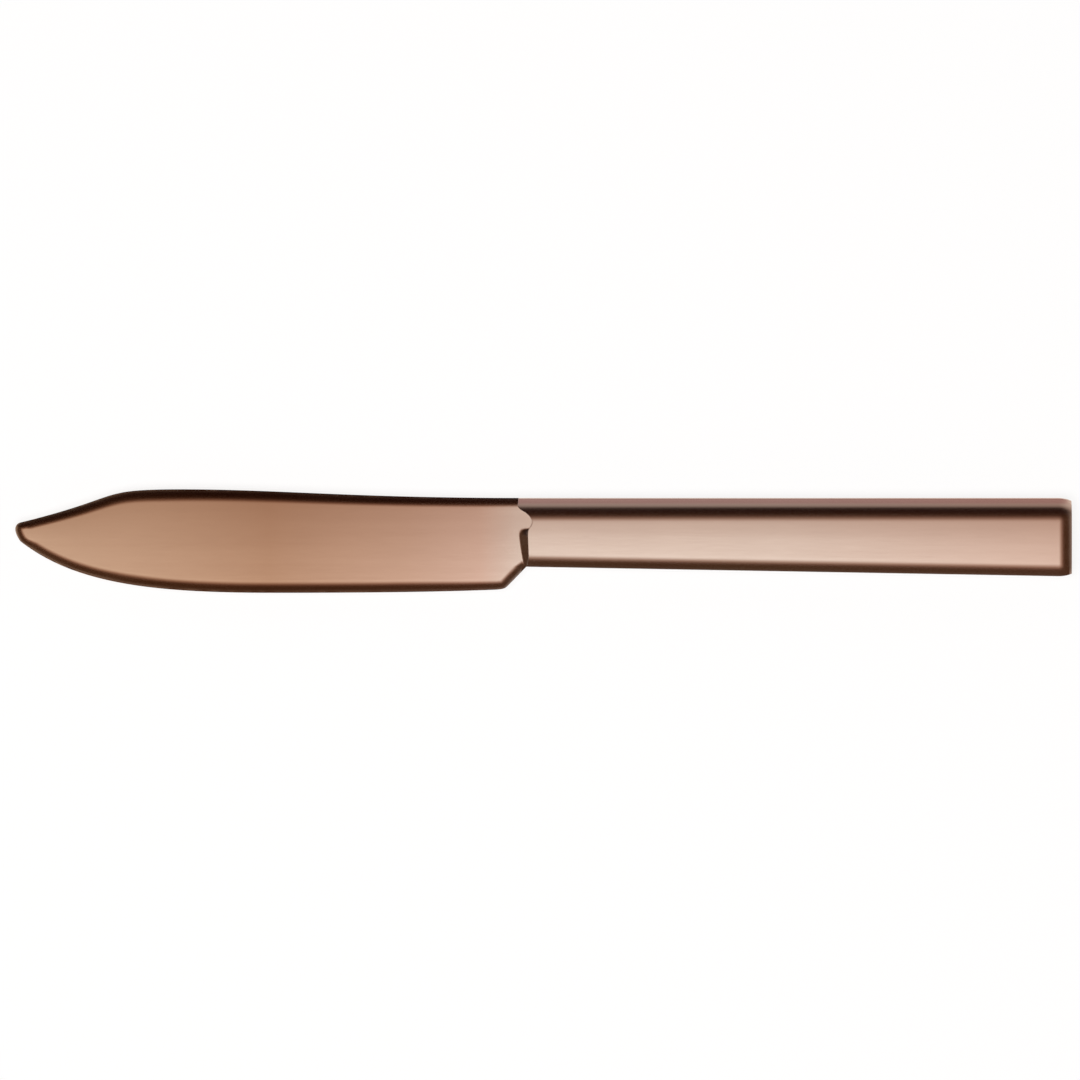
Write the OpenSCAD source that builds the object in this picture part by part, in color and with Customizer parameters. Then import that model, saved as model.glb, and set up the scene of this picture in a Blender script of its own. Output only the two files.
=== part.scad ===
// Fish knife with a hollow handle, lying on its side.
// X runs from the point to the butt, Y from the belly to the spine, and Z up.
// The origin is under the middle of the knife, on the surface that it lies on.

/* [Blade] */
// Length of the blade that shows, from the point to the mouth of the handle at the belly
blade_len = 99.9; // [90:0.1:115]
// Height of the blade, from the crest of its spine to the low of its belly
blade_h = 20.3; // [19.5:0.1:24]
// Rise of the crest above the line of the handle's spine
crest_rise = 1.7; // [1:0.1:2.4]
// Drop from the line of the handle's spine to the top of the blunt point
point_drop = 4.8; // [4:0.1:6]
// Height of the blunt point
point_h = 3.7; // [3:0.1:4.5]
// Length of the blunt point, along the knife
point_run = 1; // [0.8:0.1:1.5]
// Thickness of the blade at its heel, and width of the handle's spine
heel_t = 2.6; // [2.4:0.1:3]
// Thickness of the blade behind its point
point_t = 1.6; // [1.2:0.1:2]
// Width of the slope along the blade's spine, at the crest
spine_rim_w = 3.2; // [2.4:0.1:4]
// Width of that slope at the mouth of the handle
spine_rim_end_w = 2.2; // [1.6:0.1:3]
// Depth that it falls to
spine_rim_drop = 0.5; // [0.3:0.05:0.7]
// Width of the slope along the blade's belly
belly_rim_w = 2.4; // [1.6:0.1:3.2]
// Depth that it falls to
belly_rim_drop = 0.6; // [0.4:0.05:0.8]
// Length of the slanted heel, along the knife
heel_run = 4.1; // [3.5:0.1:6]
// Rise of the heel's corner above the low of the belly
heel_rise = 0.8; // [0.4:0.1:1.4]
// Length of outline that rounds the heel's corner, on each side of it
heel_blend = 1.4; // [0.8:0.1:2]

/* [Handle] */
// Length of the handle, from its mouth at the belly to its butt
handle_len = 107.1; // [95:0.1:125]
// Height of the handle at its mouth
mouth_h = 13.5; // [12.5:0.1:14.5]
// Height of the handle at its butt
butt_h = 15.4; // [14:0.1:17]
// Thickness of the handle
handle_t = 6.6; // [6.2:0.1:7.4]
// Tilt of the long facet beside the spine, in degrees from the flat of the handle
facet_tilt = 40; // [36:1:46]
// Length of easing on each side of the edge between the spine and that facet
spine_ease = 0.5; // [0.3:0.1:0.8]
// Length of easing on the facet, at the ridge between facet and flat
ridge_facet_ease = 1.6; // [1:0.1:2]
// Length of easing on the flat, at that ridge
ridge_flat_ease = 3; // [2:0.1:4]
// Length of easing on the flat, along the belly
belly_flat_ease = 2.8; // [2:0.1:3.8]
// Length of easing on the narrow side of the belly
belly_side_ease = 1.2; // [0.8:0.1:1.5]
// Length of easing on the flat, round the butt
butt_flat_ease = 3.2; // [1.6:0.1:3.6]
// Depth of easing on the end of the butt
butt_end_ease = 0.8; // [0.7:0.1:1.4]
// Length over which the nose of the handle rises from the blade's face
nose_len = 2.2; // [1.6:0.1:2.8]
// Lean of the mouth, which lies this much further forward at the spine than at the belly
mouth_lean = 0.5; // [0.3:0.1:1]
// Radius in which the mouth sweeps further forward beside the spine
mouth_curve_r = 6; // [5.8:0.1:9]
// Height of that sweep, down from the spine
mouth_curve_h = 5.4; // [4.4:0.1:5.6]
// Radius in which the mouth curves back beside the belly
mouth_foot_r = 2.4; // [2:0.1:3]
// Height of that curve, up from the belly
mouth_foot_h = 1.8; // [1.2:0.1:1.9]
// Wall of the pressed half shells
wall = 0.9; // [0.7:0.05:1.1]

/* [Tang] */
// Length of the tang inside the handle
tang_len = 50; // [35:1:70]
// Height of the tang at its root
tang_h = 8; // [6:0.1:9]
// Height of the tang at its end
tang_end_h = 5; // [4:0.1:6]
// Thickness of the tang
tang_t = 1.6; // [1.2:0.1:1.8]
// Radius of the keying holes through the tang
key_hole_r = 1.5; // [1:0.1:1.8]
// Distance between the keying holes
key_hole_pitch = 14; // [10:0.5:18]

/* [Fits] */
// Clearance round the tang, inside the shells and between blade and handle
fit_gap = 0.05; // [0.03:0.01:0.1]
// Thickness of the brazing strip between the half shells
seam_t = 0.2; // [0.1:0.05:0.3]

/* [Hidden] */

COPPER = [0.78, 0.58, 0.47];
BRAZE = [0.85, 0.66, 0.36];
CEMENT = [0.72, 0.70, 0.66];

// Heights are counted from the line of the handle's spine, lengths from the point
belly_low = crest_rise - blade_h;
butt_x = blade_len + handle_len;
tang_y = -mouth_h / 2;
overrun = 1;

// Handles of the blade's outline, along it as shares of its length
swoop_x_shares = [0.218, 0.154, 0.325];
swoop_y_share = 0.18;
spine_x_shares = [0.52, 0.66];
belly_x_shares = [0.116, 0.263, 0.505, 0.67, 0.83];
belly_y_share = 0.9;
heel_y_share = 0.2;
point_y_shares = [0.1, 0.5];

// Each rim of the blade falls from the flat in a parabola and ends in a narrow land
rim_shares = [0, 0.2, 0.4, 0.6, 0.8, 1];
rim_limit_share = 0.4;
drop_limit_share = 0.7;
flat_shares = [0.14, 0.3, 0.6];
point_land_share = 0.04;
point_round_share = 0.5;
body_ribs = 32;
heel_ribs = 7;
rib_spread = 1.7;
sweep_share = 0.12;
curve_steps = 40;

// Steps of the handle's ends, where the nose's are shares of its length and of its rise
nose_shares = [[0, 0], [0.35, 0.46], [0.66, 0.86], [0.83, 0.97], [1, 1]];
butt_shares = [0, 0.25, 0.5, 0.75, 1];
least_ease = 0.2;

function clamp(v, low, high) = max(low, min(high, v));
function mix(a, b, share) = a + (b - a) * share;
function towards(a, b, distance) = a + distance * (b - a) / norm(b - a);
function eased_corner(a, corner, b, steps) =
    [for (i = [0:steps]) let (t = i / steps)
        (1 - t) * (1 - t) * a + 2 * t * (1 - t) * corner + t * t * b];
function fall(r, h) = r - sqrt(r * r - h * h);
function bezier(p, t) =
    pow(1 - t, 3) * p[0] + 3 * pow(1 - t, 2) * t * p[1] + 3 * (1 - t) * t * t * p[2] + pow(t, 3) * p[3];
function curve(p, from = 0, to = 1) =
    [for (i = [0:curve_steps]) bezier(p, mix(from, to, i / curve_steps))];

// Joins rings of points into one closed solid. A ring runs down its front points and back up
// as many rear points, so each end closes as a ladder between the two.
module skin(rings) {
    n = len(rings[0]);
    last = (len(rings) - 1) * n;
    sides = [for (k = [0:len(rings) - 2], i = [0:n - 1])
        let (a = k * n + i, b = k * n + (i + 1) % n)
        each [[a, b + n, b], [a, a + n, b + n]]];
    ends = [for (i = [0:n / 2 - 2])
        let (a = i, b = i + 1, c = n - 2 - i, d = n - 1 - i)
        each [[a, b, c], [a, c, d], [last + a, last + c, last + b], [last + a, last + d, last + c]]];
    polyhedron(points = [for (r = rings) each r], faces = concat(sides, ends));
}

// Closes a ring from its front points. back_z, where given, cuts it off flat behind.
function ring(front, back_z) =
    concat(
        front,
        [for (i = [len(front) - 1:-1:0])
            [front[i].x, front[i].y, is_undef(back_z) ? -front[i].z : back_z]]
    );

// How far forward of its foot at the belly the mouth of the handle lies at height y
function sweep(y) =
    let (up = clamp(y + mouth_h, 0, mouth_h))
    mouth_lean * up / mouth_h
        + fall(mouth_curve_r, max(0, up - mouth_h + mouth_curve_h))
        + fall(mouth_foot_r, mouth_foot_h) - fall(mouth_foot_r, max(0, mouth_foot_h - up));

// The blade's outline, as two lines of points from its point to its mouth
point_curve = [
    [point_run, -point_drop],
    [-point_run / 3, -point_drop - point_y_shares[0] * point_h],
    [-point_run / 3, -point_drop - point_y_shares[1] * point_h],
    [point_run, -point_drop - point_h]
];
heel_corner = [blade_len - heel_run, belly_low + heel_rise];
heel_end = [blade_len, -mouth_h];
belly_end = [heel_corner.x - heel_blend, heel_corner.y - heel_rise * heel_y_share];
spine_line = concat(
    curve(point_curve, 0.5, 0),
    curve([
        point_curve[0],
        [swoop_x_shares[0] * blade_len, swoop_y_share * crest_rise],
        [swoop_x_shares[1] * blade_len, crest_rise],
        [swoop_x_shares[2] * blade_len, crest_rise]
    ]),
    curve([
        [swoop_x_shares[2] * blade_len, crest_rise],
        [spine_x_shares[0] * blade_len, crest_rise],
        [spine_x_shares[1] * blade_len, 0],
        [blade_len, 0]
    ])
);
belly_line = concat(
    curve(point_curve, 0.5, 1),
    curve([
        point_curve[3],
        [belly_x_shares[0] * blade_len, belly_y_share * belly_low],
        [belly_x_shares[1] * blade_len, belly_low],
        [belly_x_shares[2] * blade_len, belly_low]
    ]),
    curve([
        [belly_x_shares[2] * blade_len, belly_low],
        [belly_x_shares[3] * blade_len, belly_low],
        [belly_x_shares[4] * blade_len, mix(belly_low, belly_end.y, heel_y_share)],
        belly_end
    ]),
    curve([belly_end, heel_corner, heel_corner, towards(heel_corner, heel_end, heel_blend)]),
    [heel_end]
);

// One rib across the blade, at distance x from the point
function blade_rib(x) =
    let (
        top = lookup(max(x, point_land_share * point_run), spine_line),
        low = lookup(max(x, point_land_share * point_run), belly_line),
        near = clamp(x / (2 * point_run), 0, 1),
        half_t = mix(point_t, heel_t, x / blade_len) / 2 * mix(point_round_share, 1, sqrt(near)),
        limit = rim_limit_share * (top - low),
        spine_w = min(mix(spine_rim_w, spine_rim_end_w, x / blade_len), limit),
        belly_w = min(belly_rim_w, limit),
        spine_drop = min(spine_rim_drop, drop_limit_share * half_t),
        belly_drop = min(belly_rim_drop, drop_limit_share * half_t),
        spine_rim = [for (s = rim_shares)
            [top - spine_w * s, half_t - spine_drop * (1 - s) * (1 - s)]],
        flat = [for (s = flat_shares) [mix(top - spine_w, low + belly_w, s), half_t]],
        belly_rim = [for (i = [len(rim_shares) - 1:-1:0]) let (s = rim_shares[i])
            [low + belly_w * s, half_t - belly_drop * (1 - s) * (1 - s)]],
        swept = clamp((x - blade_len * (1 - sweep_share)) / (blade_len * sweep_share), 0, 1)
    )
    ring([for (p = concat(spine_rim, flat, belly_rim)) [x - swept * sweep(p.x), p.x, p.y]]);

// The tang's outline, rooted in the blade, or with grow the space that it takes
module tang_outline(grow) {
    root_x = blade_len - sweep(0) - grow;
    end_x = blade_len + tang_len + grow;
    root_h = tang_h / 2 + grow;
    end_h = tang_end_h / 2 + grow;
    polygon([
        [root_x, tang_y + root_h],
        [end_x, tang_y + end_h],
        [end_x, tang_y - end_h],
        [root_x, tang_y - root_h]
    ]);
}

module tang_space() {
    linear_extrude(tang_t + 2 * fit_gap, center = true) tang_outline(fit_gap);
}

module key_holes(r, depth) {
    for (i = [0:1])
        translate([blade_len + tang_len - (i + 0.5) * key_hole_pitch, tang_y, 0])
            cylinder(r = r, h = depth, center = true, $fn = 48);
}

module blade_forging() {
    ribs = concat(
        [for (i = [0:body_ribs]) (heel_corner.x - heel_blend) * pow(i / body_ribs, rib_spread)],
        [for (i = [1:heel_ribs])
            mix(heel_corner.x - heel_blend, blade_len - fit_gap, i / heel_ribs)]
    );
    skin([for (x = ribs) blade_rib(x)]);
    difference() {
        linear_extrude(tang_t, center = true) tang_outline(0);
        key_holes(key_hole_r, tang_t + overrun);
    }
}

// Corners of the handle's section, with each side moved in by inset, as [height, thickness]
facet_reach = cos(facet_tilt) * heel_t / 2;
function spine_corner(inset) =
    [-inset, heel_t / 2 - inset * (1 - sin(facet_tilt)) / cos(facet_tilt)];
function ridge_corner(inset) =
    [(facet_reach - inset - cos(facet_tilt) * (handle_t / 2 - inset)) / sin(facet_tilt),
     handle_t / 2 - inset];
function belly_corner(x, inset) =
    [-mix(mouth_h, butt_h, (x - blade_len) / handle_len) + inset, handle_t / 2 - inset];

function eased(length, inset) = max(least_ease, length - inset);

// Front half of the handle's section, from spine to belly
function handle_profile(x, inset) =
    let (
        spine = spine_corner(inset),
        ridge = ridge_corner(inset),
        belly = belly_corner(x, inset),
        spine_arm = eased(spine_ease, inset)
    )
    concat(
        eased_corner(spine - [0, spine_arm], spine, towards(spine, ridge, spine_arm), 2),
        eased_corner(towards(ridge, spine, eased(ridge_facet_ease, inset)), ridge,
            ridge - [eased(ridge_flat_ease, inset), 0], 7),
        eased_corner(belly + [eased(belly_flat_ease, inset), 0], belly,
            belly - [0, eased(belly_side_ease, inset)], 6)
    );

// A ring round the nose, at a share of its length and rise. The higher a point of the
// section, the further back it gets there.
function nose_ring(share, inset, back_z) =
    let (low = spine_corner(inset).y, full = handle_t / 2 - inset)
    ring(
        [for (p = handle_profile(blade_len, inset))
            [blade_len + inset - sweep(p.x) + nose_len * share.x * p.y / full,
             p.x, min(p.y, low) + max(0, p.y - low) * share.y]],
        back_z
    );

// A ring round the butt, which closes in as the share goes from 0 to 1
function butt_ring(share, inset, back_z) =
    let (
        x = butt_x - inset - eased(butt_flat_ease, inset) * (1 - share) * (1 - share),
        closed = inset + eased(butt_end_ease, inset) * share * share
    )
    ring([for (p = handle_profile(x, closed)) [x, p.x, p.y]], back_z);

// The handle's rings from nose to butt, with the whole form moved in by inset
function handle_rings(inset, back_z) =
    concat(
        [for (s = nose_shares) nose_ring(s, inset, back_z)],
        [for (s = butt_shares) butt_ring(s, inset, back_z)]
    );

// The handle's outline in plan, taken from the same rings
function handle_outline(inset) =
    let (
        rings = handle_rings(inset, 0),
        ends = len(rings) - 1,
        foot = len(rings[0]) / 2 - 1
    )
    concat(
        [for (r = rings) [r[0].x, r[0].y]],
        [for (i = [1:foot]) [rings[ends][i].x, rings[ends][i].y]],
        [for (k = [ends - 1:-1:0]) [rings[k][foot].x, rings[k][foot].y]],
        [for (i = [foot - 1:-1:1]) [rings[0][i].x, rings[0][i].y]]
    );

// Front half shell, open towards the seam, with a slot in its nose for the tang
module half_shell() {
    difference() {
        skin(handle_rings(0, seam_t / 2));
        skin(handle_rings(wall));
        tang_space();
    }
}

// Strip of brazing metal that fills the seam round the two half shells
module seam_ring() {
    difference() {
        linear_extrude(seam_t, center = true)
            difference() {
                polygon(handle_outline(0));
                polygon(handle_outline(wall));
            }
        tang_space();
    }
}

// Filling that sets round the tang and through its keying holes
module filling() {
    difference() {
        skin(handle_rings(wall + fit_gap));
        tang_space();
    }
    key_holes(key_hole_r - fit_gap, tang_t + overrun);
}

// Lays the knife on its side, centred on the origin
module in_place() {
    translate([-butt_x / 2, blade_h / 2 - crest_rise, handle_t / 2]) children();
}

module blade() { color(COPPER) in_place() blade_forging(); }
module handle_shell_front() { color(COPPER) in_place() half_shell(); }
module handle_shell_back() { color(COPPER) in_place() mirror([0, 0, 1]) half_shell(); }
module seam_strip() { color(BRAZE) in_place() seam_ring(); }
module cement_core() { color(CEMENT) in_place() filling(); }

blade();
handle_shell_front();
handle_shell_back();
seam_strip();
cement_core();
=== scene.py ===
"""Fish knife: a leaf-shaped blade and a faceted hollow handle in a satin copper coat."""

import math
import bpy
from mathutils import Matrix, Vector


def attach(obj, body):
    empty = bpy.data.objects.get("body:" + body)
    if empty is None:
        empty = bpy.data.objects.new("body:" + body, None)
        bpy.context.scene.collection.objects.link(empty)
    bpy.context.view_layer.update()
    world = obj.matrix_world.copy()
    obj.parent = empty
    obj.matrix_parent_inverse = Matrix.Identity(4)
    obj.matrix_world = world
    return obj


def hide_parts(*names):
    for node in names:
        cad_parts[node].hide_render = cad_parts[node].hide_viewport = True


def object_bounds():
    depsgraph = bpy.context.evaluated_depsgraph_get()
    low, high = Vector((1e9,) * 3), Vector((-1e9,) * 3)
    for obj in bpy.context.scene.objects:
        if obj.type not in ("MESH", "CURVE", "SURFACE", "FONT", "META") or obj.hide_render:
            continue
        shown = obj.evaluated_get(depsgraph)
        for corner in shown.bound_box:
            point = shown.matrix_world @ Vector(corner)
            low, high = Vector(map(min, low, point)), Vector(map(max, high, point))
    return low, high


bl_info = {
    "name": "Fish Knife",
    "version": (1, 0, 0),
    "blender": (4, 5, 0),
    "location": "3D View > Sidebar > Fish Knife",
    "description": "Builds a fish knife with a hollow handle around its packed model",
    "category": "Add Mesh",
}

import bmesh
import bpy
from bpy.props import FloatProperty, FloatVectorProperty, PointerProperty
from mathutils import Matrix, Vector
from mathutils.kdtree import KDTree

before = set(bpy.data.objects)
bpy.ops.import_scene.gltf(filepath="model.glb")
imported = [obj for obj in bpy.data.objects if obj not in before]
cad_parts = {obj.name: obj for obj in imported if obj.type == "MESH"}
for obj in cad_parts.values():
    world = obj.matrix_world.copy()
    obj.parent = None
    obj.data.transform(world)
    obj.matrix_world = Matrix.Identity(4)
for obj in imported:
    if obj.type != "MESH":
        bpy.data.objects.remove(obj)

MM = 0.001
CAD_LOW, CAD_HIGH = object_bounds()
KNIFE_LENGTH = CAD_HIGH.x - CAD_LOW.x
BLADE_HEIGHT = CAD_HIGH.y - CAD_LOW.y
HANDLE_THICKNESS = CAD_HIGH.z - CAD_LOW.z
MIDDLE_Z = (CAD_LOW.z + CAD_HIGH.z) / 2
BODY = "root"

# Columns and rows of the grids that the skins are shaped from
BLADE_GRID = (260, 110)
SHELL_GRID = (190, 96)
FILLING_GRID = (110, 48)

# Steps in each curve of the outline and of the mouth, and sides of a keying hole
CURVE_STEPS = 240
MOUTH_STEPS = 12
HOLE_SEGMENTS = 40

# Distances within which points become one
MERGE = 0.001 * MM
MIRROR_MERGE = 0.0001 * MM

# Angle past which an edge is shaded as sharp, and least easing of an edge
SHARP_ANGLE = math.radians(32)
LEAST_EASE = 0.2 * MM

# Shape of the blade's outline: places along it are shares of its length, and the handles of
# its curves are such places with shares of the crest's rise or of the belly's depth
CREST_AT = 0.325
SWOOP_HANDLES = ((0.218, 0.18), (0.154, 1))
SPINE_HANDLES = ((0.52, 1), (0.66, 0))
FULL_AT = 0.505
BELLY_FRONT_HANDLES = ((0.116, 0.9), (0.263, 1))
BELLY_BACK_PLACES = (0.67, 0.83)

# Share of the heel's rise by which the belly ends below its corner, and of the belly's last
# rise that its last handle has
HEEL_SHARE = 0.2

# Heights of the handles of the blunt point's curve, as shares of the point's height
POINT_HANDLES = (0.1, 0.5)

KEY_HOLES = 2

# Shape of the handle's mouth, in millimetres: height down from the spine, and place behind
# the end of the blade's belly
MOUTH_POINTS = (
    (13.5, 0.25),
    (12.8, 0.55),
    (11.5, 0.66),
    (9.0, 0.58),
    (6.8, 0.52),
    (6.1, 0.8),
    (5.4, 1.22),
    (4.7, 1.4),
    (3.9, 1.1),
    (3.0, 0.25),
    (2.3, -0.85),
    (1.6, -1.4),
    (0.8, -1.35),
    (0.0, -1.25),
)

# Shares of a skin's columns at which the wall of the mouth, the nose, the body and the eased
# butt end, and of its rows at which the parts of the section end
WALL_END, NOSE_END, BODY_END, BUTT_END = 0.05, 0.3, 0.6, 0.96
SECTION_ENDS = (0.05, 0.17, 0.25, 0.55, 0.72, 0.94)

# Rise of the nose from the blade to the handle, as shares of its length and height
NOSE_CURVE = ((0, 0), (0.2, 0.6), (0.5, 1), (1, 1))

# Share of the body in which the sweep of the mouth dies out
SWEEP_SHARE = 1 / 3

# Patterns in the metal and the cement, as repeats to a metre along the knife and across it
STREAKS = (14, 700, 700)
CLOUDS = (70, 90, 90)
GRAIN = (220, 9000, 9000)
GRIT = (2500, 2500, 2500)

# Lean of the studio light's middle to the front
LIGHT_TILT = math.radians(6)
# Studio light: degrees from that middle, with the colour that shines from there. Past the cap
# come the rooms behind the knife and in front of it.
LIGHT_CAP = (
    (0, (1.50, 1.49, 1.49)),
    (4, (1.30, 1.27, 1.26)),
    (8, (0.92, 0.81, 0.75)),
    (12, (0.58, 0.41, 0.34)),
    (16, (0.33, 0.19, 0.14)),
    (20, (0.13, 0.06, 0.04)),
)
FAR_ROOM = (
    (24, (0.02, 0.004, 0.001)),
    (50, (0.015, 0.003, 0.001)),
    (58, (0.34, 0.28, 0.26)),
    (70, (0.62, 0.58, 0.56)),
    (95, (0.80, 0.78, 0.76)),
)
NEAR_ROOM = (
    (24, (0.07, 0.030, 0.012)),
    (41, (0.07, 0.030, 0.012)),
    (49, (0.36, 0.31, 0.29)),
    (60, (0.60, 0.56, 0.54)),
    (90, (0.80, 0.78, 0.76)),
)
# Y of the directions between which the far room's light takes over, and then its mauve
FAR_SHARES = (0.1, 0.5)
MAUVE_SHARES = (0.78, 0.96)
MAUVE = (0.62, 0.44, 0.46, 1)
WHITE = (1, 1, 1, 1)

# Place of the lamp, and gap between the knife and the floor
KEY_LIGHT_PLACE = Vector((-0.12, -0.15, 1.35))
FLOOR_GAP = 0.05 * MM

# Numbers of the colour sockets of a Mix node, whose names repeat
MIX_FACTOR, MIX_A, MIX_B, MIX_RESULT = 0, 6, 7, 2


def length(name, description, default):
    """A length, given in millimetres."""
    return FloatProperty(name=name, description=description, default=default * MM, unit="LENGTH")


def number(name, description, default, **kind):
    """A plain number, or an angle or a power where its kind says so."""
    return FloatProperty(name=name, description=description, default=default, **kind)


def factor(name, description, default):
    """A number from 0 to 1."""
    return number(name, description, default, subtype="FACTOR", min=0, max=1)


def colour(name, description, default):
    """A colour of light or of a surface."""
    return FloatVectorProperty(
        name=name, description=description, default=default, size=3, subtype="COLOR", min=0, max=1
    )


def group(name, kind):
    """A group of settings, described by its class."""
    return PointerProperty(name=name, description=kind.__doc__, type=kind)


class BladeSizes(bpy.types.PropertyGroup):
    """Sizes of the blade. Heights are counted from the line of the handle's spine."""

    mouth_x: length("Length", "From the point to the mouth of the handle at the belly", 99.9)
    crest_rise: length("Crest", "Rise of the spine's crest", 1.7)
    point_drop: length("Point drop", "Drop to the top of the blunt point", 4.8)
    point_height: length("Point height", "Height of the blunt point", 3.7)
    point_run: length("Point length", "Length of the blunt point", 1.0)
    heel_thickness: length("Heel thickness", "Thickness where the handle begins", 2.6)
    point_thickness: length("Point thickness", "Thickness behind the point", 1.6)
    spine_rim: length("Spine rim", "Width of the slope along the spine, at the crest", 2.5)
    spine_rim_end: length("Spine rim end", "Width of that slope at point and handle", 1.8)
    spine_steepness: number("Spine steepness", "Fall of the spine's slope at its edge", 0.42)
    belly_rim: length("Belly rim", "Width of the slope along the belly", 2.45)
    belly_rim_end: length("Belly rim end", "Width of that slope at point and heel", 2.0)
    belly_steepness: number("Belly steepness", "Fall of the belly's slope at its edge", 0.48)
    heel_run: length("Heel length", "Length of the slanted heel", 4.1)
    heel_rise: length("Heel rise", "Rise of the heel's corner above the belly's low", 0.8)
    heel_blend: length("Heel rounding", "Length that rounds the heel's corner", 1.4)
    crown: length("Crown", "Swell of each face in the middle of its height", 0.145)
    shoulder_run: length("Shoulder length", "Length in which the blade rises to the handle", 1.8)
    shoulder_foot: length("Shoulder foot", "That length at the belly", 0.9)
    shoulder_steepness: number("Shoulder steepness", "Rise of each face for that length", 0.28)
    shoulder_top: length("Shoulder top", "Height, down from the spine, where it begins", 6.1)
    shoulder_fade: length("Shoulder fade", "Height in which it gets its full rise", 1.3)
    tang_length: length("Tang length", "Length of the tang inside the handle", 50)
    tang_height: length("Tang height", "Height of the tang at its root", 8)
    tang_end_height: length("Tang end", "Height of the tang at its end", 5)
    tang_thickness: length("Tang thickness", "Thickness of the tang", 1.6)
    key_hole: length("Keying hole", "Radius of the keying holes", 1.5)
    key_pitch: length("Keying pitch", "Distance between the keying holes", 14)


class HandleSizes(bpy.types.PropertyGroup):
    """Sizes of the hollow handle."""

    mouth_height: length("Mouth height", "Height at the mouth", 13.5)
    butt_height: length("Butt height", "Height at the butt", 15.4)
    facet_tilt: number(
        "Facet tilt", "Tilt of the facet from the flat", math.radians(40), subtype="ANGLE"
    )
    spine_side: length("Spine side", "Thickness of the side along the spine", 3.15)
    spine_ease: length("Spine easing", "Easing of the edge beside the spine", 0.2)
    ridge_facet_ease: length("Ridge on facet", "Easing of the ridge, on the facet", 1.95)
    ridge_flat_ease: length("Ridge on flat", "Easing of the ridge, on the flat", 2.55)
    edge_run: length("Edge on flat", "Length in which the flat bends down to belly and butt", 2.6)
    edge_turn: length("Edge turn", "Part of that length that sets its slope at the edge", 1.3)
    edge_drop: length("Edge on side", "Depth to which it bends down", 0.55)
    nose_length: length("Nose", "Length over which the nose rises from the blade", 0.05)
    wall: length("Wall", "Wall of the half shells", 0.9)
    seam: length("Seam", "Thickness of the brazed seam", 0.2)
    gap: length("Clearance", "Clearance of the filling", 0.05)
    joint: length("Joint", "Joint between blade and handle", 0.01)
    crown: length("Crown", "Swell of each flat in the middle of its height", 0.2)


class FinishColours(bpy.types.PropertyGroup):
    """Colours of the copper coat, from the point to the butt, and of what it covers. Along the
    blade they also hold painted shade and light.
    """

    # The point's and heel's lighter tones and the leaf's deeper one are painted light and shade on
    # the blade's face, laid over the coat's own copper colour
    point: colour("Point", "Coat at the point", (0.66, 0.46, 0.32))
    leaf: colour("Leaf", "Coat in the middle of the blade, its deepest tone", (0.49, 0.294, 0.188))
    heel: colour("Heel", "Coat at the blade's heel", (0.658, 0.455, 0.358))
    grip: colour("Grip", "Coat along the handle", (0.705, 0.575, 0.49))
    butt: colour("Butt", "Coat at the butt", (0.70, 0.515, 0.42))
    cement: colour("Cement", "Filling of the handle", (0.42, 0.40, 0.37))
    coat_roughness: factor("Coat roughness", "Roughness of the satin coat", 0.2)
    seam_roughness: factor("Seam roughness", "Roughness of the coat on the seam", 0.4)
    cement_roughness: factor("Cement roughness", "Roughness of the filling", 0.9)


class StageSizes(bpy.types.PropertyGroup):
    """Floor, light and camera."""

    floor: length("Floor", "Width of the floor", 6000)
    floor_colour: colour("Floor colour", "Colour of the floor", (0.9, 0.9, 0.9))
    floor_glow: factor("Floor glow", "Share of plain white in the floor as it is seen", 0.8)
    light_width: length("Light width", "Width of the round lamp", 900)
    light_power: number("Light power", "Power of that lamp", 17, unit="POWER")
    frame_width: length("Picture width", "Width that the camera sees at the knife", 211.8)
    centre_x: length("Picture centre X", "Middle of the picture, along the knife", -0.64)
    centre_y: length("Picture centre Y", "Middle of the picture, across the knife", 0.21)
    distance: length("Camera distance", "Height of the camera above the knife", 1500)


class FishKnifeSettings(bpy.types.PropertyGroup):
    """All settings of the knife and its stage."""

    blade: group("Blade", BladeSizes)
    handle: group("Handle", HandleSizes)
    finish: group("Finish", FinishColours)
    stage: group("Stage", StageSizes)


# Small helpers


def mix(a, b, share):
    """The value that lies a share of the way from a to b."""
    return a + (b - a) * share


def clamp(value):
    """Keeps a share between 0 and 1."""
    return max(0.0, min(1.0, value))


def smooth(value):
    """Eases a share that runs from 0 to 1 in and out."""
    value = clamp(value)
    return value * value * (3 - 2 * value)


def bezier(points, t):
    """Point at t on a curve with four control points."""
    a, b, c, d = (Vector(p) for p in points)
    s = 1 - t
    return a * s**3 + b * 3 * s * s * t + c * 3 * s * t * t + d * t**3


def curve(points, start=0.0, end=1.0, steps=CURVE_STEPS):
    """Points along such a curve, or along a stretch of it."""
    return [bezier(points, mix(start, end, i / steps)) for i in range(steps + 1)]


def eased_corner(a, corner, b, t):
    """Point at t on the curve that cuts a corner between a and b."""
    s = 1 - t
    return a * s * s + corner * 2 * s * t + b * t * t


def to_place(point):
    """From the knife's own heights and lengths to its place in the frame."""
    spine_y = CAD_HIGH.y - bpy.context.scene.fish_knife.blade.crest_rise
    return Vector((CAD_LOW.x + point.x, spine_y + point.y, MIDDLE_Z + point.z))


def lookup(line, x):
    """Height of a line of points at x."""
    low, high = 0, len(line) - 1
    while high - low > 1:
        middle = (low + high) // 2
        if line[middle].x <= x:
            low = middle
        else:
            high = middle
    run = line[high].x - line[low].x
    share = clamp((x - line[low].x) / run) if run > 0 else 0
    return mix(line[low].y, line[high].y, share)


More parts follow.
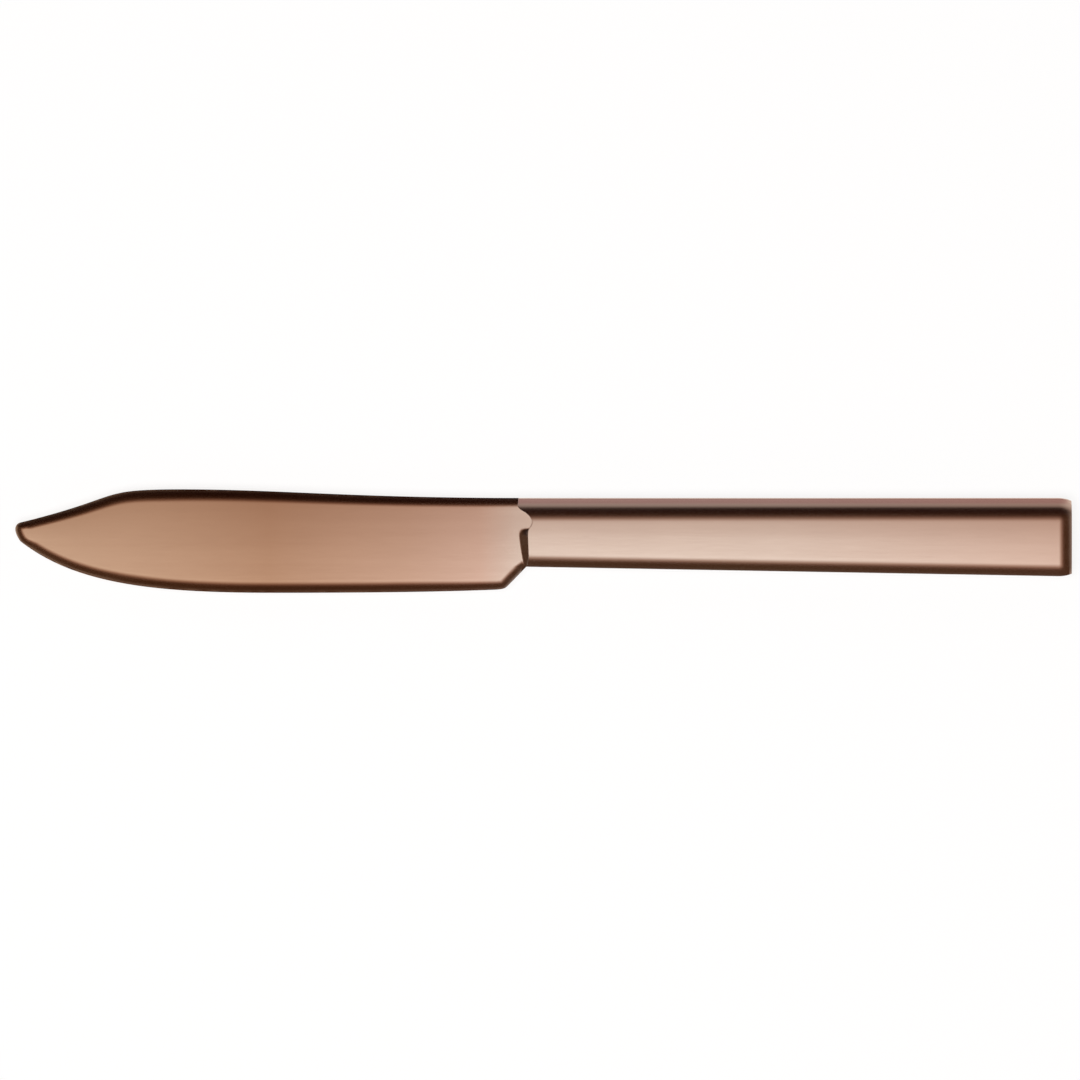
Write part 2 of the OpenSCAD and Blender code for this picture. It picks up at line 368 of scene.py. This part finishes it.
def mouth_line():
    """The handle's mouth: its place along the knife for each height, from belly to spine."""
    mouth_x = bpy.context.scene.fish_knife.blade.mouth_x
    points = [Vector((-down * MM, mouth_x + behind * MM)) for down, behind in MOUTH_POINTS]
    line = []
    for i in range(len(points) - 1):
        start, end = points[i], points[i + 1]
        before, after = points[max(i - 1, 0)], points[min(i + 2, len(points) - 1)]
        bend = (start + (end - before) / 6, end - (after - start) / 6)
        line += curve([start, *bend, end], steps=MOUTH_STEPS)
    return line


def unit_grid(bm, size):
    """A grid whose points run from 0 to 1 in X and Y."""
    columns, rows = size
    made = bmesh.ops.create_grid(bm, x_segments=columns, y_segments=rows, size=0.5)
    bmesh.ops.translate(bm, verts=made["verts"], vec=(0.5, 0.5, 0))
    return made["verts"]


def edges_of(bm, verts):
    """Edges that join those points, in the mesh's own order, so that each run is the same."""
    chosen = set(verts)
    return [edge for edge in bm.edges if edge.verts[0] in chosen]


def put_in_order(items, place):
    """Sorts points, edges or faces by their places, so that each run gives the same mesh."""
    for i, item in enumerate(sorted(items, key=lambda item: tuple(place(item)))):
        item.index = i
    items.sort()


def to_mesh(bm, name):
    """Turns a bmesh into a mesh, and frees it."""
    put_in_order(bm.verts, lambda vert: vert.co)
    put_in_order(bm.edges, lambda edge: edge.verts[0].co + edge.verts[1].co)
    put_in_order(bm.faces, lambda face: face.calc_center_median())
    mesh = bpy.data.meshes.new(name)
    bm.to_mesh(mesh)
    bm.free()
    return mesh


def add_to_scene(name, data):
    """Puts a mesh, lamp or camera in the scene."""
    made = bpy.data.objects.new(name, data)
    bpy.context.scene.collection.objects.link(made)
    return made


def finish_mesh(bm, name, material):
    """Turns a bmesh into a smooth-shaded piece with sharp edges kept."""
    mesh = to_mesh(bm, name)
    mesh.shade_smooth()
    mesh.set_sharp_from_angle(angle=SHARP_ANGLE)
    mesh.materials.append(material)
    piece = add_to_scene(name, mesh)
    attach(piece, BODY)
    return piece


# Shader maths


class Value:
    """One shader socket, for use in plain expressions."""

    def __init__(self, graph, socket):
        self.graph = graph
        self.socket = socket

    def math(self, operation, *inputs):
        """A Math node of that operation on the inputs."""
        return self.graph.node("ShaderNodeMath", {"operation": operation}, dict(enumerate(inputs)))

    def __add__(self, other):
        return self.math("ADD", self, other)

    def __sub__(self, other):
        return self.math("SUBTRACT", self, other)

    def __rsub__(self, other):
        return self.math("SUBTRACT", other, self)

    def __mul__(self, other):
        return self.math("MULTIPLY", self, other)

    def __truediv__(self, other):
        return self.math("DIVIDE", self, other)

    def __rtruediv__(self, other):
        return self.math("DIVIDE", other, self)

    __radd__ = __add__
    __rmul__ = __mul__


class Graph:
    """A node tree that is filled from expressions."""

    def __init__(self, tree):
        self.tree = tree
        tree.nodes.clear()

    def node(self, kind, settings=None, inputs=None, output=0):
        """A node of that type, with its settings made first, then its inputs."""
        made = self.tree.nodes.new(kind)
        for key, value in (settings or {}).items():
            if key == "stops":
                self.set_stops(made.color_ramp, value)
            else:
                setattr(made, key, value)
        for key, value in (inputs or {}).items():
            if isinstance(value, Value):
                self.tree.links.new(value.socket, made.inputs[key])
            else:
                made.inputs[key].default_value = value
        return Value(self, made.outputs[output]) if made.outputs else made

    def set_stops(self, ramp, stops):
        """Gives a colour ramp its stops: positions with colours."""
        while len(ramp.elements) > 1:
            ramp.elements.remove(ramp.elements[-1])
        for i, (position, tone) in enumerate(stops):
            element = ramp.elements[0] if i == 0 else ramp.elements.new(position)
            element.position = position
            element.color = (*tone, 1)

    def object_place(self):
        """A point's own place on its piece."""
        return self.node("ShaderNodeTexCoord", output="Object")

    def component(self, vector, axis):
        """X, Y or Z of a vector."""
        return self.node("ShaderNodeSeparateXYZ", inputs={0: vector}, output=axis)

    def noise(self, vector, scale, detail):
        """Even noise, stretched by a scale for each axis."""
        stretched = self.node(
            "ShaderNodeVectorMath", {"operation": "MULTIPLY"}, {0: vector, 1: scale}
        )
        return self.node(
            "ShaderNodeTexNoise", inputs={"Vector": stretched, "Scale": 1.0, "Detail": detail}
        )

    def ease_between(self, value, ends):
        """Runs from 0 to 1 as the value goes from one end to the other."""
        return self.node(
            "ShaderNodeMapRange",
            {"interpolation_type": "SMOOTHSTEP"},
            {"Value": value, "From Min": ends[0], "From Max": ends[1]},
        )

    def mix_colours(self, factor, a, b, blend="MIX"):
        """Two colours mixed or, with another blend, combined by a share."""
        return self.node(
            "ShaderNodeMix",
            {"data_type": "RGBA", "blend_type": blend},
            {MIX_FACTOR: factor, MIX_A: a, MIX_B: b},
            output=MIX_RESULT,
        )

    def shade_colour(self, tone, shade):
        """A colour made lighter or darker by a number."""
        grey = self.node("ShaderNodeCombineColor", inputs={i: shade for i in range(3)})
        return self.mix_colours(1.0, tone, grey, "MULTIPLY")

    def surface(self, inputs):
        """Ends a material in one Principled shader with those inputs."""
        shader = self.node("ShaderNodeBsdfPrincipled", inputs=inputs)
        self.node("ShaderNodeOutputMaterial", inputs={"Surface": shader})

    def bump(self, strength, depth, height):
        """A normal that follows the height of a grain of that depth."""
        return self.node(
            "ShaderNodeBump", inputs={"Strength": strength, "Distance": depth, "Height": height}
        )


def new_material(name):
    """An empty material and its graph."""
    material = bpy.data.materials.new(name)
    material.use_nodes = True
    return material, Graph(material.node_tree)


def copper_coat(name, roughness):
    """Satin copper coat over polished steel, brushed lengthwise, toned along the knife: partly its
    own colour, paler on the handle, and partly painted shade and light along the blade.
    """
    finish = bpy.context.scene.fish_knife.finish
    material, graph = new_material(name)
    place = graph.object_place()
    along = (graph.component(place, "X") - CAD_LOW.x) / KNIFE_LENGTH
    # Along the blade these stops paint shade and light: darkest in the middle of the leaf, lighter
    # towards point and heel. The handle's paler stops are the coat's own colour.
    stops = [
        (0.02, finish.point),
        (0.24, finish.leaf),
        (0.37, mix(Vector(finish.leaf), Vector(finish.heel), 0.5)),
        (0.44, finish.heel),
        (0.475, finish.grip),
        (0.72, finish.grip),
        (0.99, finish.butt),
    ]
    tone = graph.node("ShaderNodeValToRGB", {"stops": stops}, {0: along})
    streaks = graph.noise(place, STREAKS, detail=3.0)
    clouds = graph.noise(place, CLOUDS, detail=2.0)
    grain = graph.noise(place, GRAIN, detail=2.0)
    streak_shade, cloud_shade = 0.10, 0.06
    streak_roughness, grain_roughness = 0.08, 0.05
    grain_depth = 0.002 * MM
    shade = 1.0 + (streaks - 0.5) * streak_shade + (clouds - 0.5) * cloud_shade
    uneven = (streaks - 0.5) * streak_roughness + (grain - 0.5) * grain_roughness
    graph.surface({
        "Base Color": graph.shade_colour(tone, shade),
        "Metallic": 1.0,
        "Roughness": uneven + roughness,
        "Normal": graph.bump(0.25, grain_depth, grain),
    })
    return material


def cement():
    """Dull, gritty filling cement."""
    finish = bpy.context.scene.fish_knife.finish
    material, graph = new_material("filling cement")
    grit = graph.noise(graph.object_place(), GRIT, detail=4.0)
    darkest, spread = 0.8, 0.4
    grit_depth = 0.1 * MM
    graph.surface({
        "Base Color": graph.shade_colour((*finish.cement, 1), darkest + grit * spread),
        "Roughness": finish.cement_roughness,
        "Normal": graph.bump(0.5, grit_depth, grit),
    })
    return material


# The blade


def blade_lines():
    """The blade's spine and belly, as two lines of points from the point to the mouth."""
    blade = bpy.context.scene.fish_knife.blade
    handle = bpy.context.scene.fish_knife.handle
    end, run, drop, tall = blade.mouth_x, blade.point_run, blade.point_drop, blade.point_height
    crest = blade.crest_rise
    low = crest - BLADE_HEIGHT
    # With handles a third of its length ahead of the tip, the point's curve just reaches it
    ahead = [(-run / 3, -drop - share * tall) for share in POINT_HANDLES]
    point = [(run, -drop), *ahead, (run, -drop - tall)]
    corner = Vector((end - blade.heel_run, low + blade.heel_rise))
    heel_end = Vector((end, -handle.mouth_height))
    belly_end = Vector((corner.x - blade.heel_blend, corner.y - HEEL_SHARE * blade.heel_rise))
    slant = corner + (heel_end - corner).normalized() * blade.heel_blend
    top, bottom = (CREST_AT * end, crest), (FULL_AT * end, low)
    swoop = [(x * end, y * crest) for x, y in SWOOP_HANDLES]
    back = [(x * end, y * crest) for x, y in SPINE_HANDLES]
    spine = (
        curve(point, 0.5, 0)
        + curve([point[0], *swoop, top])
        + curve([top, *back, (end, 0)])
    )
    front = [(x * end, y * low) for x, y in BELLY_FRONT_HANDLES]
    rise = (low, mix(low, belly_end.y, HEEL_SHARE))
    rear = [(x * end, y) for x, y in zip(BELLY_BACK_PLACES, rise)]
    belly = (
        curve(point, 0.5, 1)
        + curve([point[3], *front, bottom])
        + curve([bottom, *rear, belly_end])
        + curve([belly_end, corner, corner, slant])
        + curve([slant, mix(slant, heel_end, 1 / 3), mix(slant, heel_end, 2 / 3), heel_end])
    )
    return spine, belly


def rim_tree(spine, belly):
    """Points of the outline to measure distances to, each with its rim's width and depth."""
    blade = bpy.context.scene.fish_knife.blade
    # Length behind the point in which the rims of spine and belly become their own
    turn = 4 * blade.point_run
    # Shares of the blade in which the belly's rim widens, and where the spine's is widest
    widening, widest = 0.25, 0.3
    # Most that a rim may take of the blade's height, and of the point's
    most, most_at_point = 0.35, 0.42
    samples = []
    for line, side in ((spine, 0), (belly, 1)):
        for point in line:
            share = mix(0.5, side, smooth(point.x / turn))
            along = point.x / blade.mouth_x
            full = min(smooth(along / widening), smooth((1 - along) / widening))
            crest = min(smooth(along / widest), (1 - along) / (1 - widest))
            width = mix(
                mix(blade.spine_rim_end, blade.spine_rim, crest),
                mix(blade.belly_rim_end, blade.belly_rim, full),
                share,
            )
            height = lookup(spine, point.x) - lookup(belly, point.x)
            width = min(width, max(most * height, most_at_point * blade.point_height))
            steepness = mix(blade.spine_steepness, blade.belly_steepness, share)
            samples.append((point, width, steepness * width / 2))
    tree = KDTree(len(samples))
    for i, (point, _width, _drop) in enumerate(samples):
        tree.insert((point.x, point.y, 0), i)
    tree.balance()
    return tree, samples


def shoulder(mouth, x, y):
    """Rise of the blade's face just ahead of the handle, below the middle of its height."""
    sizes = bpy.context.scene.fish_knife
    blade = sizes.blade
    down = -blade.shoulder_top - y
    lowness = clamp(down / (sizes.handle.mouth_height - blade.shoulder_top))
    run = mix(blade.shoulder_run, blade.shoulder_foot, lowness**2)
    share = clamp(1 - (lookup(mouth, y) - x) / run)
    # The slope sets in over this share of the run and is even from there on
    start = 0.25
    ramp = share * share / (2 * start) if share < start else share - start / 2
    depth = clamp(down / blade.shoulder_fade)
    return blade.shoulder_steepness * run * depth * ramp / (1 - start / 2)


def mirror_front(bm):
    """Carries the rim of a front skin down to the middle plane and adds the same skin behind."""
    rim = [edge for edge in bm.edges if edge.is_boundary]
    walls = bmesh.ops.extrude_edge_only(bm, edges=rim)["geom"]
    for vert in (item for item in walls if isinstance(item, bmesh.types.BMVert)):
        vert.co.z = MIDDLE_Z
    lift = Matrix.Translation((0, 0, -MIDDLE_Z))
    skin = bm.verts[:] + bm.edges[:] + bm.faces[:]
    bmesh.ops.mirror(bm, geom=skin, matrix=lift, axis="Z", merge_dist=MIRROR_MERGE)
    bmesh.ops.remove_doubles(bm, verts=bm.verts, dist=MERGE)
    bmesh.ops.recalc_face_normals(bm, faces=bm.faces)


def blade_plate(bm):
    """Front half of the blade's plate, with its rims, shaped from a grid and mirrored."""
    blade = bpy.context.scene.fish_knife.blade
    spine, belly = blade_lines()
    tree, samples = rim_tree(spine, belly)
    mouth = mouth_line()
    end = blade.mouth_x - bpy.context.scene.fish_knife.handle.joint
    body_end = blade.mouth_x - blade.heel_run - blade.heel_blend
    least_x = 0.02 * blade.point_run
    # Share of the columns ahead of the heel, how they crowd to the point, and how the rows
    # crowd to spine and belly
    split, column_crowding, row_crowding = 0.82, 1.5, 0.8
    # Most that a rim may sink of half the thickness, and where the mouth's sweep sets in
    most_sunk, sweep_start = 0.7, 0.88
    for vert in unit_grid(bm, BLADE_GRID):
        u, v = vert.co.x, vert.co.y
        if u < split:
            x = body_end * (u / split) ** column_crowding
        else:
            x = mix(body_end, end, (u - split) / (1 - split))
        share = v - row_crowding * math.sin(2 * math.pi * v) / (2 * math.pi)
        top = lookup(spine, max(x, least_x))
        low = lookup(belly, max(x, least_x))
        y = mix(low, top, share)
        half = mix(blade.point_thickness, blade.heel_thickness, x / blade.mouth_x) / 2
        _place, index, distance = tree.find((x, y, 0))
        _point, width, drop = samples[index]
        drop = min(drop, most_sunk * half)
        sunk = drop * (1 - clamp(distance / width)) ** 2
        height = top - low
        swell = blade.crown * (1 - (2 * share - 1) ** 2) * clamp(height / BLADE_HEIGHT)
        swept = smooth((x / blade.mouth_x - sweep_start) / (1 - sweep_start))
        x += swept * (lookup(mouth, y) - blade.mouth_x)
        rise = shoulder(mouth, x, y)
        vert.co = to_place(Vector((x, y, half - sunk + swell + rise)))
    mirror_front(bm)


def tang(bm, grow=0.0):
    """The tang: a tapered strip with its keying holes, or its pocket if it is grown a little."""
    blade = bpy.context.scene.fish_knife.blade
    middle = -bpy.context.scene.fish_knife.handle.mouth_height / 2
    root = blade.mouth_x - blade.heel_run
    end = blade.mouth_x + blade.tang_length
    half = blade.tang_thickness / 2 + grow
    corners = [
        (root, blade.tang_height / 2 + grow),
        (end + grow, blade.tang_end_height / 2 + grow),
        (end + grow, -blade.tang_end_height / 2 - grow),
        (root, -blade.tang_height / 2 - grow),
    ]
    verts = [bm.verts.new(to_place(Vector((x, middle + y, -half)))) for x, y in corners]
    edges = [bm.edges.new((verts[i], verts[i - 1])) for i in range(4)]
    for i in range(KEY_HOLES):
        hole_x = end - (i + 0.5) * blade.key_pitch
        place = to_place(Vector((hole_x, middle, -half)))
        circle = bmesh.ops.create_circle(
            bm,
            segments=HOLE_SEGMENTS,
            radius=blade.key_hole - grow,
            matrix=Matrix.Translation(place),
        )
        edges += edges_of(bm, circle["verts"])
    filled = bmesh.ops.triangle_fill(bm, edges=edges, use_beauty=True)["geom"]
    faces = [item for item in filled if isinstance(item, bmesh.types.BMFace)]
    raised = bmesh.ops.extrude_face_region(bm, geom=faces, use_keep_orig=True)["geom"]
    bmesh.ops.translate(
        bm,
        verts=[item for item in raised if isinstance(item, bmesh.types.BMVert)],
        vec=(0, 0, 2 * half),
    )
    bmesh.ops.recalc_face_normals(bm, faces=bm.faces)


class KNIFE_OT_blade(bpy.types.Operator):
    """Build the forged blade and its tang"""

    bl_idname = "fish_knife.blade"
    bl_label = "Blade"

    def execute(self, context):
        plate = bmesh.new()
        blade_plate(plate)
        strip = bmesh.new()
        tang(strip)
        joined = to_mesh(strip, "tang")
        plate.from_mesh(joined)
        bpy.data.meshes.remove(joined)
        roughness = context.scene.fish_knife.finish.coat_roughness
        coat = copper_coat("copper coat on blade", roughness)
        piece = finish_mesh(plate, "forged_blade", coat)
        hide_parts("blade")
        return {"FINISHED"}


# The handle


class Section:
    """Half of the handle's section in height and thickness, moved in by an inset."""

    def __init__(self, x, inset):
        sizes = bpy.context.scene.fish_knife
        handle = sizes.handle
        tilt = handle.facet_tilt
        half = HANDLE_THICKNESS / 2
        spine_half = handle.spine_side / 2
        share = (x - sizes.blade.mouth_x) / (KNIFE_LENGTH - sizes.blade.mouth_x)
        tall = mix(handle.mouth_height, handle.butt_height, share)

        def eased(arm):
            return max(LEAST_EASE, arm - inset)

        side = spine_half - inset * (1 - math.sin(tilt)) / math.cos(tilt)
        reach = math.cos(tilt) * spine_half - inset
        self.full = half - inset
        self.low = side
        self.tall = tall
        spine = Vector((-inset, side))
        ridge = Vector(((reach - math.cos(tilt) * self.full) / math.sin(tilt), self.full))
        belly = Vector((inset - tall, self.full))
        facet = (ridge - spine).normalized()
        arm = eased(handle.spine_ease)
        self.corners = [
            (spine - Vector((0, arm)), spine, spine + facet * arm),
            (
                ridge - facet * eased(handle.ridge_facet_ease),
                ridge,
                ridge - Vector((eased(handle.ridge_flat_ease), 0)),
            ),
            (
                belly + Vector((eased(handle.edge_run), 0)),
                belly + Vector((eased(handle.edge_turn), 0)),
                belly - Vector((0, eased(handle.edge_drop))),
            ),
        ]
        self.seam = handle.seam / 2

    def point(self, v):
        """Point at v, which runs from 0 at the spine's seam to 1 at the belly's seam."""
        spine, ridge, belly = self.corners
        parts = (
            (Vector((spine[0].x, self.seam)), spine[0]),
            spine,
            (spine[2], ridge[0]),
            ridge,
            (ridge[2], belly[0]),
            belly,
            (belly[2], Vector((belly[2].x, self.seam))),
        )
        ends = (0, *SECTION_ENDS, 1)
        number_of_part = sum(v >= end for end in SECTION_ENDS)
        part = parts[number_of_part]
        start, end = ends[number_of_part], ends[number_of_part + 1]
        share = (v - start) / (end - start)
        return eased_corner(*part, share) if len(part) == 3 else mix(*part, share)


def nose_point(mouth, u, v, inset):
    """Point of the nose, which rises from the blade, with its section and its share of swell."""
    sizes = bpy.context.scene.fish_knife
    handle, blade = sizes.handle, sizes.blade
    section = Section(blade.mouth_x, inset)
    height, z = section.point(v)
    x = lookup(mouth, height) + inset
    step = bezier(NOSE_CURVE, clamp((u - WALL_END) / (NOSE_END - WALL_END)))
    z = min(z, section.low) + max(0, z - section.low) * step.y
    if u < WALL_END:
        # The wall of the mouth closes in on the tang, and elsewhere on the seam
        slot = abs(height + handle.mouth_height / 2) < blade.tang_height / 2 + handle.gap
        inner = blade.tang_thickness / 2 + handle.gap if slot else section.seam
        z = mix(min(inner, z), z, u / WALL_END)
    else:
        x += handle.nose_length * step.x
    return Vector((x, height, z)), section, step.y


def body_point(mouth, u, v, inset):
    """Point of the body, up to its eased butt, with its section and its share of swell."""
    sizes = bpy.context.scene.fish_knife
    handle, blade = sizes.handle, sizes.blade
    drop, turn, run = (
        max(LEAST_EASE, ease - inset)
        for ease in (handle.edge_drop, handle.edge_turn, handle.edge_run)
    )
    end_x = KNIFE_LENGTH - inset
    if u <= BODY_END:
        share = (u - NOSE_END) / (BODY_END - NOSE_END)
        x = mix(blade.mouth_x + inset + handle.nose_length, end_x - run, smooth(share))
        section = Section(x, inset)
    else:
        share = clamp((u - BODY_END) / (BUTT_END - BODY_END))
        x = end_x - run * (1 - share) ** 2 - 2 * turn * share * (1 - share)
        section = Section(x, inset + drop * share * share)
    height, z = section.point(v)
    if u <= BODY_END:
        x += (lookup(mouth, height) - blade.mouth_x) * (1 - smooth(share / SWEEP_SHARE))
    if u > BUTT_END:
        z = mix(z, section.seam, clamp((u - BUTT_END) / (1 - BUTT_END)))
    return Vector((x, height, z)), section, 1


def shell_point(mouth, u, v, inset):
    """Point of a half shell's surface. u runs from the nose's inner edge to the butt's."""
    part = nose_point if u <= NOSE_END else body_point
    point, section, swell = part(mouth, u, v, inset)
    down = clamp(-point.y / section.tall)
    crown = bpy.context.scene.fish_knife.handle.crown
    point.z -= crown * (2 * down - 1) ** 2 * clamp(point.z / section.full) * swell
    return point


def shell_surface(bm, inset, size):
    """One skin of a half shell. Gives the closed loop of edges along its seam."""
    verts = unit_grid(bm, size)
    mouth = mouth_line()
    for vert in verts:
        vert.co = to_place(shell_point(mouth, vert.co.x, vert.co.y, inset))
    return [edge for edge in edges_of(bm, verts) if edge.is_boundary]


def half_shell(bm):
    """Outer and inner skin of the front half shell, joined along the seam."""
    handle = bpy.context.scene.fish_knife.handle
    outer_rim = shell_surface(bm, 0, SHELL_GRID)
    inner_rim = shell_surface(bm, handle.wall, SHELL_GRID)
    bmesh.ops.bridge_loops(bm, edges=outer_rim + inner_rim)
    bmesh.ops.remove_doubles(bm, verts=bm.verts, dist=MERGE)
    bmesh.ops.recalc_face_normals(bm, faces=bm.faces)


class KNIFE_OT_handle(bpy.types.Operator):
    """Build the two half shells of the handle, and coat the seam between them"""

    bl_idname = "fish_knife.handle"
    bl_label = "Handle"

    def execute(self, context):
        finish = context.scene.fish_knife.finish
        coat = copper_coat("copper coat on handle", finish.coat_roughness)
        for name, node, side in (
            ("front_half_shell", "handle_shell_front", 1),
            ("back_half_shell", "handle_shell_back", -1),
        ):
            bm = bmesh.new()
            half_shell(bm)
            if side < 0:
                lift = Matrix.Translation((0, 0, -MIDDLE_Z))
                bmesh.ops.scale(bm, verts=bm.verts, vec=(1, 1, -1), space=lift)
                bmesh.ops.recalc_face_normals(bm, faces=bm.faces)
            piece = finish_mesh(bm, name, coat)
            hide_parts(node)
        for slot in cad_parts["seam_strip"].material_slots:
            slot.material = copper_coat("brazed seam", finish.seam_roughness)
        return {"FINISHED"}


def cut(piece, cutter):
    """Takes one object's volume out of another."""
    modifier = piece.modifiers.new("Pocket", "BOOLEAN")
    modifier.operation = "DIFFERENCE"
    modifier.solver = "EXACT"
    modifier.object = cutter
    with bpy.context.temp_override(object=piece):
        bpy.ops.object.modifier_apply(modifier=modifier.name)
    bpy.data.meshes.remove(cutter.data)


class KNIFE_OT_filling(bpy.types.Operator):
    """Build the cement that fills the handle round the tang"""

    bl_idname = "fish_knife.filling"
    bl_label = "Filling"

    def execute(self, context):
        handle = context.scene.fish_knife.handle
        body = bmesh.new()
        shell_surface(body, handle.wall + handle.gap, FILLING_GRID)
        mirror_front(body)
        piece = finish_mesh(body, "handle_filling", cement())
        pocket = bmesh.new()
        tang(pocket, handle.gap)
        cut(piece, add_to_scene("tang pocket", to_mesh(pocket, "tang pocket")))
        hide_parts("cement_core")
        return {"FINISHED"}


# The stage


def floor_material():
    """Pale floor that takes shadows and is seen, also in the metal, as almost white."""
    stage = bpy.context.scene.fish_knife.stage
    material, graph = new_material("pale floor")
    diffuse = graph.node("ShaderNodeBsdfDiffuse", inputs={0: (*stage.floor_colour, 1)})
    glow = graph.node("ShaderNodeEmission", inputs={0: WHITE, 1: 1.0})
    camera = graph.node("ShaderNodeLightPath", output="Is Camera Ray")
    glossy = graph.node("ShaderNodeLightPath", output="Is Glossy Ray")
    clear = graph.node("ShaderNodeLightPath", output="Is Transmission Ray")
    seen = camera.math("MAXIMUM", camera + glossy, clear)
    share = seen * stage.floor_glow
    mixed = graph.node("ShaderNodeMixShader", inputs={0: share, 1: diffuse, 2: glow})
    graph.node("ShaderNodeOutputMaterial", inputs={"Surface": mixed})
    return material


def studio_world():
    """A bright, soft cap of light above, a dark ring round it, and a pale room beyond."""
    world = bpy.data.worlds.new("studio")
    bpy.context.scene.world = world
    world.use_nodes = True
    graph = Graph(world.node_tree)
    direction = graph.node(
        "ShaderNodeVectorMath",
        {"operation": "NORMALIZE"},
        {0: graph.node("ShaderNodeTexCoord", output="Generated")},
    )
    cosine = graph.node(
        "ShaderNodeVectorMath",
        {"operation": "DOT_PRODUCT"},
        {0: direction, 1: (0, -math.sin(LIGHT_TILT), math.cos(LIGHT_TILT))},
        output="Value",
    )
    angle = cosine.math("ARCCOSINE", cosine) / math.pi
    near, far = (
        graph.node(
            "ShaderNodeValToRGB",
            {"stops": [(degrees / 180, tone) for degrees, tone in LIGHT_CAP + room]},
            {0: angle},
        )
        for room in (NEAR_ROOM, FAR_ROOM)
    )
    farness = graph.component(direction, "Y")
    light = graph.mix_colours(graph.ease_between(farness, FAR_SHARES), near, far)
    mauve = graph.ease_between(farness, MAUVE_SHARES)
    shaded = graph.mix_colours(mauve, light, MAUVE, "MULTIPLY")
    camera = graph.node("ShaderNodeLightPath", output="Is Camera Ray")
    lit = graph.node("ShaderNodeBackground", inputs={0: shaded, 1: 1.0})
    white = graph.node("ShaderNodeBackground", inputs={0: WHITE, 1: 1.0})
    mixed = graph.node("ShaderNodeMixShader", inputs={0: camera, 1: lit, 2: white})
    graph.node("ShaderNodeOutputWorld", inputs={"Surface": mixed})


def key_light():
    """A wide, round lamp that looks at the knife. The metal mirrors the world instead of it."""
    stage = bpy.context.scene.fish_knife.stage
    data = bpy.data.lights.new("key light", "AREA")
    data.shape = "DISK"
    data.size = stage.light_width
    data.energy = stage.light_power
    lamp = add_to_scene("key light", data)
    lamp.location = KEY_LIGHT_PLACE
    lamp.rotation_euler = KEY_LIGHT_PLACE.to_track_quat("Z", "Y").to_euler()
    lamp.visible_glossy = False


class KNIFE_OT_stage(bpy.types.Operator):
    """Set up the floor, light and camera"""

    bl_idname = "fish_knife.stage"
    bl_label = "Stage"

    def execute(self, context):
        stage = context.scene.fish_knife.stage
        bm = bmesh.new()
        bmesh.ops.create_grid(bm, x_segments=1, y_segments=1, size=stage.floor / 2)
        bmesh.ops.translate(bm, verts=bm.verts, vec=(0, 0, CAD_LOW.z - FLOOR_GAP))
        mesh = to_mesh(bm, "floor")
        mesh.materials.append(floor_material())
        floor = add_to_scene("floor", mesh)
        studio_world()
        key_light()
        data = bpy.data.cameras.new("camera")
        data.lens = data.sensor_width * stage.distance / stage.frame_width
        camera = add_to_scene("camera", data)
        camera.location = (stage.centre_x, stage.centre_y, MIDDLE_Z + stage.distance)
        context.scene.camera = camera
        context.scene.view_settings.view_transform = "Standard"
        return {"FINISHED"}


class KNIFE_PT_panel(bpy.types.Panel):
    """Buttons that build the knife, and its sizes and colours"""

    bl_label = "Fish Knife"
    bl_idname = "KNIFE_PT_panel"
    bl_space_type = "VIEW_3D"
    bl_region_type = "UI"
    bl_category = "Fish Knife"

    def draw(self, context):
        for operator in OPERATORS:
            self.layout.operator(operator.bl_idname)
        for name in FishKnifeSettings.__annotations__:
            settings = getattr(context.scene.fish_knife, name)
            box = self.layout.box()
            box.label(text=name.capitalize())
            for key in type(settings).__annotations__:
                box.prop(settings, key)


GROUPS = (BladeSizes, HandleSizes, FinishColours, StageSizes, FishKnifeSettings)
OPERATORS = (KNIFE_OT_blade, KNIFE_OT_handle, KNIFE_OT_filling, KNIFE_OT_stage)
CLASSES = (*GROUPS, *OPERATORS, KNIFE_PT_panel)


def register():
    """Registers the classes and adds the settings to the scene."""
    for item in CLASSES:
        bpy.utils.register_class(item)
    bpy.types.Scene.fish_knife = group("Fish Knife", FishKnifeSettings)


def unregister():
    """Takes all of that away again."""
    del bpy.types.Scene.fish_knife
    for item in reversed(CLASSES):
        bpy.utils.unregister_class(item)


def main():
    """Builds the knife and its stage."""
    register()
    bpy.ops.fish_knife.blade()
    bpy.ops.fish_knife.handle()
    bpy.ops.fish_knife.filling()
    bpy.ops.fish_knife.stage()


if __name__ == "__main__":
    main()
